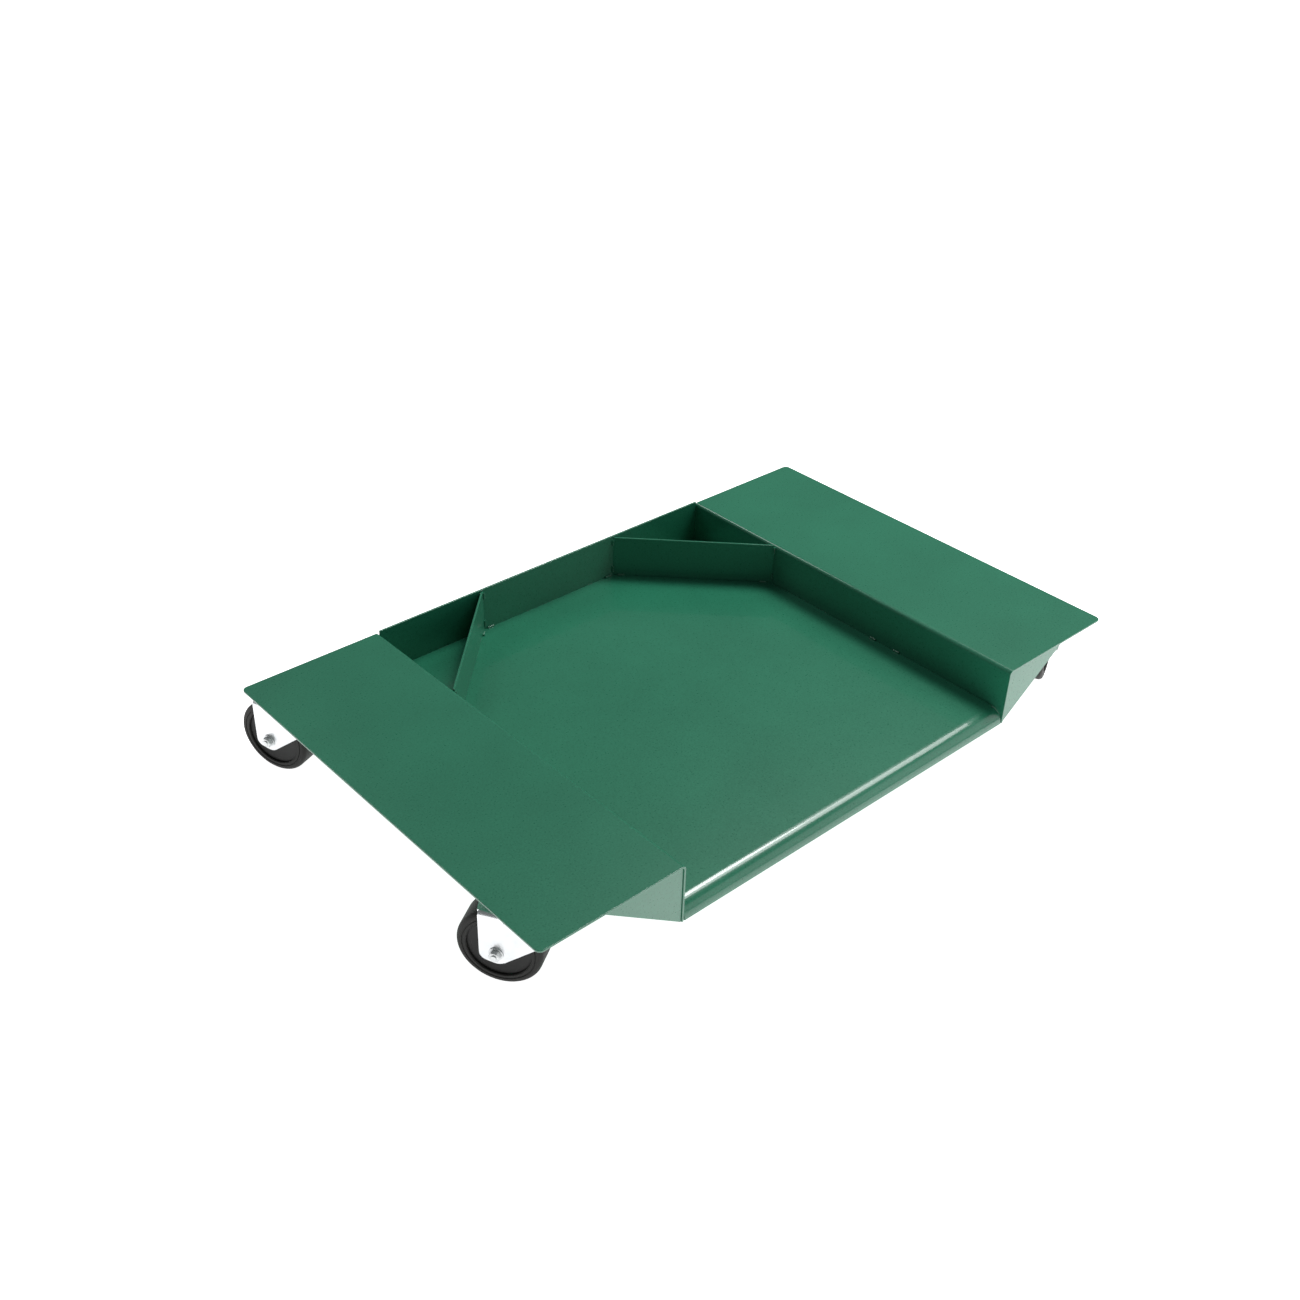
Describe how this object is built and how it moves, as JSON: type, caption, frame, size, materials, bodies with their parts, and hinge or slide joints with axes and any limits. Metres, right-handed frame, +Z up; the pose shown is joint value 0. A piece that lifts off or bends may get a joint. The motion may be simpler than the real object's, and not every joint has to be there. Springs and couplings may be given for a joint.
{
  "type": "platform dolly",
  "caption": "Low welded sheet-steel drum dolly with two raised side decks, a sunken open-front bay with rear corner gussets, and swivel casters under the decks.",
  "frame": {"origin": "on the ground below the middle of the whole dolly as it stands, midway between its outermost points along X and along Y, casters included", "axes": "+X along the width from the left deck to the right deck, -Y towards the bay's open front, +Z up"},
  "size_m": [1.0886, 0.6758, 0.136],
  "materials": {
    "green_paint": "semi-gloss green enamel with a fine texture",
    "painted_weld": "the same enamel over weld beads",
    "zinc_plate": "bright zinc plated pressed steel",
    "zinc_fastener": "bright zinc plated",
    "ball_steel": "polished bearing steel",
    "wheel_core": "dark hard rubber",
    "rubber": "matte black rubber"
  },
  "bodies": {
    "tray": {"floor_pan": "green_paint", "left_deck": "green_paint", "right_deck": "green_paint", "back_wall": "green_paint", "left_gusset": "green_paint", "right_gusset": "green_paint", "front_left_web": "green_paint", "front_right_web": "green_paint", "rear_left_web": "green_paint", "rear_right_web": "green_paint", "bay_welds": "painted_weld", "web_welds": "painted_weld", "caster_welds": "painted_weld", "front_left_top_plate": "zinc_plate", "front_left_kingpin": "zinc_fastener", "front_left_kingpin_nut": "zinc_fastener", "front_left_lower_race": "zinc_plate", "front_right_top_plate": "zinc_plate", "front_right_kingpin": "zinc_fastener", "front_right_kingpin_nut": "zinc_fastener", "front_right_lower_race": "zinc_plate", "rear_left_top_plate": "zinc_plate", "rear_left_kingpin": "zinc_fastener", "rear_left_kingpin_nut": "zinc_fastener", "rear_left_lower_race": "zinc_plate", "rear_right_top_plate": "zinc_plate", "rear_right_kingpin": "zinc_fastener", "rear_right_kingpin_nut": "zinc_fastener", "rear_right_lower_race": "zinc_plate"},
    "front_left_swivel": {"front_left_race_balls": "ball_steel", "front_left_fork": "zinc_plate", "front_left_axle_bolt": "zinc_fastener", "front_left_axle_nut": "zinc_fastener", "front_left_axle_sleeve": "zinc_fastener"},
    "front_left_wheel": {"front_left_wheel_core": "wheel_core", "front_left_tyre": "rubber"},
    "front_right_swivel": {"front_right_race_balls": "ball_steel", "front_right_fork": "zinc_plate", "front_right_axle_bolt": "zinc_fastener", "front_right_axle_nut": "zinc_fastener", "front_right_axle_sleeve": "zinc_fastener"},
    "front_right_wheel": {"front_right_wheel_core": "wheel_core", "front_right_tyre": "rubber"},
    "rear_left_swivel": {"rear_left_race_balls": "ball_steel", "rear_left_fork": "zinc_plate", "rear_left_axle_bolt": "zinc_fastener", "rear_left_axle_nut": "zinc_fastener", "rear_left_axle_sleeve": "zinc_fastener"},
    "rear_left_wheel": {"rear_left_wheel_core": "wheel_core", "rear_left_tyre": "rubber"},
    "rear_right_swivel": {"rear_right_race_balls": "ball_steel", "rear_right_fork": "zinc_plate", "rear_right_axle_bolt": "zinc_fastener", "rear_right_axle_nut": "zinc_fastener", "rear_right_axle_sleeve": "zinc_fastener"},
    "rear_right_wheel": {"rear_right_wheel_core": "wheel_core", "rear_right_tyre": "rubber"}
  },
  "joints": [
    {"name": "front_left_swivel_turn", "type": "hinge", "parent": "tray", "child": "front_left_swivel", "pos_m": [-0.47263, -0.27387, 0.13], "axis": [0, 0, 1], "continuous": true},
    {"name": "front_left_wheel_spin", "type": "hinge", "parent": "front_left_swivel", "child": "front_left_wheel", "pos_m": [-0.50071, -0.22892, 0.053], "axis": [-0.848, -0.5299, 0], "continuous": true},
    {"name": "front_right_swivel_turn", "type": "hinge", "parent": "tray", "child": "front_right_swivel", "pos_m": [0.44137, -0.27387, 0.13], "axis": [0, 0, 1], "continuous": true},
    {"name": "front_right_wheel_spin", "type": "hinge", "parent": "front_right_swivel", "child": "front_right_wheel", "pos_m": [0.48941, -0.25147, 0.053], "axis": [-0.4226, 0.9063, 0], "continuous": true},
    {"name": "rear_left_swivel_turn", "type": "hinge", "parent": "tray", "child": "rear_left_swivel", "pos_m": [-0.47263, 0.23313, 0.13], "axis": [0, 0, 1], "continuous": true},
    {"name": "rear_left_wheel_spin", "type": "hinge", "parent": "rear_left_swivel", "child": "rear_left_wheel", "pos_m": [-0.49162, 0.28261, 0.053], "axis": [-0.9336, -0.3584, 0], "continuous": true},
    {"name": "rear_right_swivel_turn", "type": "hinge", "parent": "tray", "child": "rear_right_swivel", "pos_m": [0.44137, 0.23313, 0.13], "axis": [0, 0, 1], "continuous": true},
    {"name": "rear_right_wheel_spin", "type": "hinge", "parent": "rear_right_swivel", "child": "rear_right_wheel", "pos_m": [0.41897, 0.28117, 0.053], "axis": [-0.9063, -0.4226, 0], "continuous": true}
  ]
}
